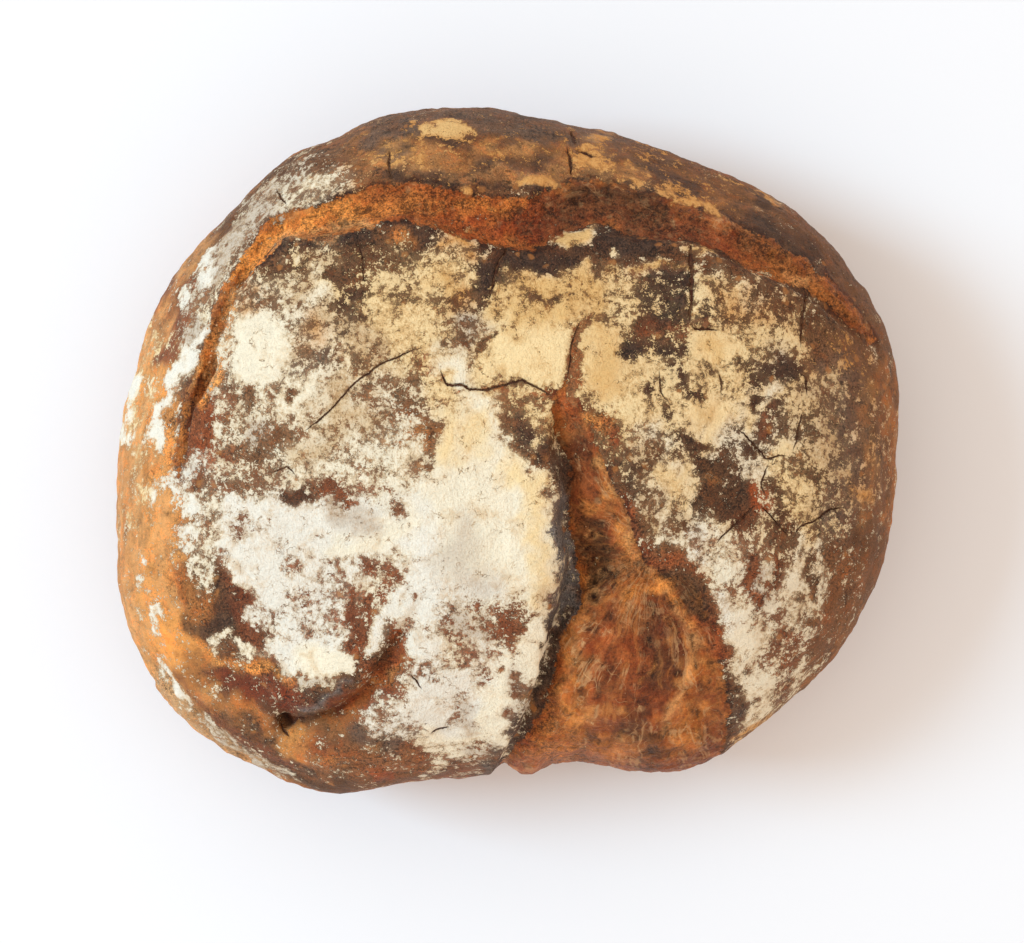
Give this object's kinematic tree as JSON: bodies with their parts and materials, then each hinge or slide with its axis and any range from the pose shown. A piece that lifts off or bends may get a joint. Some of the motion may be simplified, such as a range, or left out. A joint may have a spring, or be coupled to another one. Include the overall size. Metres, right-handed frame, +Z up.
{
  "type": "no-knead bread",
  "caption": "Round rustic free-standing loaf with a domed, flour-dusted crust, a burst seam across the far shoulder, a deep fold at the near side and a flat base.",
  "frame": {"origin": "middle of the flat base, at the bottom centre of the bounding box", "axes": "+X along the loaf's length, to the right in the picture; +Y to the far side with the burst seam, the picture's top; +Z up, out of the domed crust"},
  "size_m": [0.23, 0.2, 0.09],
  "materials": {
    "crust": "matte browned bread crust, dusted with flour"
  },
  "bodies": {
    "root": {"loaf": "crust"}
  },
  "joints": []
}
